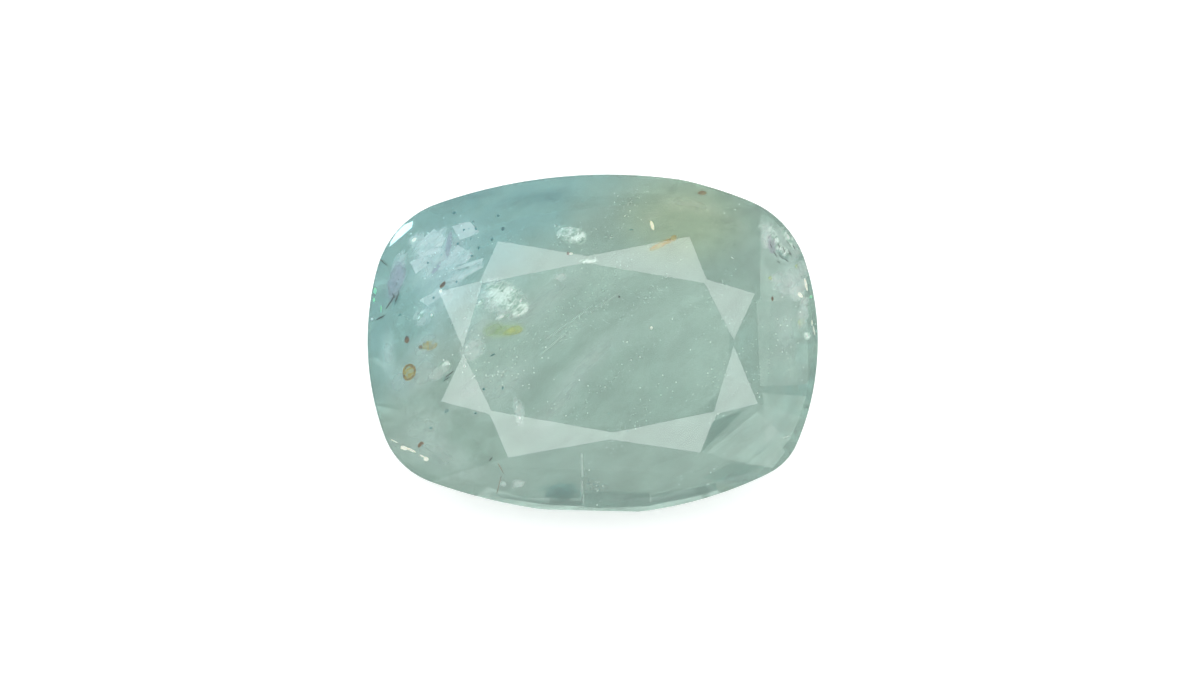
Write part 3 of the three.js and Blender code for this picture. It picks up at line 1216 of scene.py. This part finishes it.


# Straight-edged sheets near the corners and along the lower rim: broken shards and growth bands
# that glow a little (painted light), a white flare that is a painted reflection, and dark shadow
# and rim sheets of painted shade. A row gives the corners' pixels and the depth.

sheetLook = {
    "shard": hazeMaterial(
        "paleShard", (1.0, 0.95, 0.95), (0.92, 0.90, 0.92), 6, 0.46, torn=0.45, paintedGlow=0.26, swirl=0.6
    ),
    # Painted reflection: a glowing white sheet just under the surface, standing in for a white
    # glare.
    "paintedFlare": hazeMaterial(
        "paintedWhiteFlare", (1.0, 1.0, 1.0), (0.95, 0.97, 1.0), 6, 0.98, torn=0, roughness=0.4, paintedGlow=0.75
    ),
    "band": hazeMaterial(
        "growthBand", (0.94, 1.0, 0.97), (0.84, 0.96, 0.91), 2, 0.24, torn=0.2, paintedGlow=0.14
    ),
    # Painted shade: dark sheets that darken the triangle by the south-east star and the strip along
    # the lower rim; the rim sheets below do the same.
    "shadow": hazeMaterial("paintedShadowSheet", (0.12, 0.42, 0.35), (0.20, 0.50, 0.42), 3, 0.24, torn=0.2),
    "rim": hazeMaterial("rimShade", (0.12, 0.40, 0.34), (0.18, 0.46, 0.40), 3, 0.22, torn=0.2),
}

sheets = {
    "shard": (
        (((416, 246), (434, 229), (446, 238), (441, 247)), 0.22),
        (((438, 270), (458, 245), (474, 255), (466, 263)), 0.20),
        (((417, 251), (441, 248), (442, 253), (420, 257)), 0.28),
        (((441, 274), (466, 264), (484, 258), (482, 263)), 0.22),
        (((448, 280), (480, 266), (484, 267), (462, 279)), 0.26),
        (((410, 262), (424, 256), (430, 262), (416, 274)), 0.30),
        (((452, 226), (470, 222), (480, 232), (460, 240)), 0.34),
        (((420, 300), (440, 288), (446, 294), (428, 306)), 0.30),
    ),
    "paintedFlare": (
        (((390, 243), (396, 233), (404, 225), (413, 221), (412, 227), (402, 236)), 0.07),
        (((389, 247), (392, 239), (402, 236), (396, 241)), 0.05),
    ),
    "band": (
        (((758, 268), (766, 222), (790, 250), (800, 300), (762, 300)), 0.35),
        (((760, 213), (770, 217), (788, 234), (796, 262), (761, 262)), 0.18),
        (((760, 262), (798, 262), (806, 300), (759, 302)), 0.22),
        (((756, 300), (806, 300), (808, 384), (760, 386)), 0.35),
        (((762, 393), (806, 396), (790, 440), (766, 452)), 0.30),
        (((706, 452), (757, 412), (788, 440), (770, 466), (730, 460)), 0.30),
        (((745, 464), (778, 440), (785, 452), (773, 468)), 0.20),
    ),
    "shadow": (
        (((713, 421), (744, 409), (701, 452)), 0.10),
        (((713, 421), (744, 409), (701, 452)), 0.16),
        (((730, 463), (768, 466), (750, 473), (722, 483), (702, 477)), 0.14),
        (((549, 495), (583, 494), (583, 506), (549, 505)), 0.08),
        (((584, 491), (650, 492), (650, 506), (600, 508), (584, 507)), 0.08),
        (((651, 495), (715, 484), (717, 490), (651, 505)), 0.08),
        (((492, 492), (548, 499), (548, 505), (492, 495)), 0.05),
        (((584, 494), (650, 494), (650, 506), (600, 508), (584, 507)), 0.05),
        (((549, 501), (583, 502), (583, 506), (549, 505)), 0.05),
    ),
    "rim": (
        (((500, 496), (548, 501), (548, 505), (500, 498)), 0.04),
        (((549, 499), (583, 501), (583, 506), (549, 505)), 0.035),
        (((640, 501), (690, 492), (712, 486), (712, 491), (690, 498), (650, 506)), 0.04),
        (((651, 499), (690, 489), (716, 482), (717, 490), (690, 498), (651, 505)), 0.05),
    ),
}


def cutPanel(corners, depth):
    points = [under(corner, depth) for corner in corners]
    middle = sum(points, Vector()) / len(points)
    normal = Vector()
    for first, second in zip(points, points[1:] + points[:1]):
        normal += (first - middle).cross(second - middle)
    normal.normalize()
    if normal.dot(outOfTable()) < 0:
        normal = -normal
        points.reverse()
    bpy.ops.mesh.primitive_plane_add(size=inclusions["panelSize"] * mm, location=(0, 0, 0))
    panel = bpy.context.object
    turn = normal.to_track_quat("Z", "Y").to_matrix().to_4x4()
    panel.data.transform(Matrix.Translation(middle) @ turn)
    editAll()
    for first, second in zip(points, points[1:] + points[:1]):
        cutBy(first, (second - first).cross(normal), False)
    leaveEdit()
    solid = panel.modifiers.new("thickness", "SOLIDIFY")
    solid.thickness = inclusions["panelThickness"] * mm
    solid.offset = 0
    bpy.ops.object.modifier_apply(modifier=solid.name)
    storeEdge(panel, False)
    return panel


for look, spots in sheets.items():
    panels = [cutPanel(corners, depth) for corners, depth in spots]
    finishPiece(joined(panels), look + "Sheets", sheetLook[look])
print("stage: broken sheets")


# Silk dust, strewn in streaks through the whole stone

dust = {
    "seed": 11,
    "streaks": 90,
    "flakes": 34,              # in one streak
    "long": 0.55,              # spread of a streak's flakes along it and across it
    "wide": 0.10,
    "size": (0.007, 0.016),
    "flakeTurn": 6.28,         # radians, at most, as are the next three
    "flakeLean": 1,
    "streakTurn": 0.15,
    "streakLean": 0.3,
    "reach": ((-5, 5), (-3.2, 3.2), (-3.2, 1.2)),    # where streaks are tried
    "clearance": 0.2,          # from the stone's faces
    "colour": (0.95, 0.98, 0.98),
    "shade": (0.80, 0.90, 0.88),
}


def isInside(point):
    where, normal, _, far = inner.find_nearest(point)
    return far > dust["clearance"] * mm and (point - where).dot(normal) < 0


def flakePlaces(chance):
    spread = (dust["long"], dust["wide"], dust["wide"])
    places = []
    for number in range(dust["flakes"]):
        spot = Vector([chance.gauss(0, 1) * far for far in spread])
        turn = Matrix.Rotation(chance.uniform(0, dust["flakeTurn"]), 4, "Z")
        lean = chance.uniform(-dust["flakeLean"], dust["flakeLean"])
        turn = turn @ Matrix.Rotation(lean, 4, "X")
        size = Matrix.Scale(chance.uniform(*dust["size"]) * mm, 4)
        places.append(Matrix.Translation(spot * mm) @ turn @ size)
    return places


def streakPlaces(chance):
    angle = math.radians(zones["silkAngle"])
    places = []
    while len(places) < dust["streaks"]:
        point = place(*[chance.uniform(*reach) for reach in dust["reach"]])
        if not isInside(point):
            continue
        off = chance.uniform(-dust["streakTurn"], dust["streakTurn"])
        lean = chance.uniform(-dust["streakLean"], dust["streakLean"])
        turn = Matrix.Rotation(angle + off, 4, "Z") @ Matrix.Rotation(lean, 4, "Y")
        places.append(Matrix.Translation(point) @ gemTurn @ turn)
    return places


def removeStrays(piece):
    makeActive(piece)
    bpy.ops.object.mode_set(mode="EDIT")
    bpy.ops.mesh.select_all(action="DESELECT")
    leaveEdit()
    stray = 0
    for vertex in piece.data.vertices:
        vertex.select = not isInside(vertex.co)
        stray += vertex.select
    bpy.context.tool_settings.mesh_select_mode = (True, False, False)
    bpy.ops.object.mode_set(mode="EDIT")
    bpy.ops.mesh.select_linked()
    bpy.ops.mesh.delete(type="VERT")
    leaveEdit()
    return stray


def makeDust():
    chance = random.Random(dust["seed"])
    streak = copiesAt(masters["flake"], flakePlaces(chance))
    dusty = copiesAt(streak, streakPlaces(chance))
    bpy.data.objects.remove(streak)
    stray = removeStrays(dusty)
    look = hazeMaterial("silkDust", dust["colour"], dust["shade"], 6, 1, roughness=0.6)
    finishPiece(dusty, "silkDust", look)
    print("dust:", len(dusty.data.polygons), "faces,", stray, "corners were outside")


makeDust()
for master in masters.values():
    bpy.data.objects.remove(master)
print("stage: silk dust")

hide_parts("sapphire")
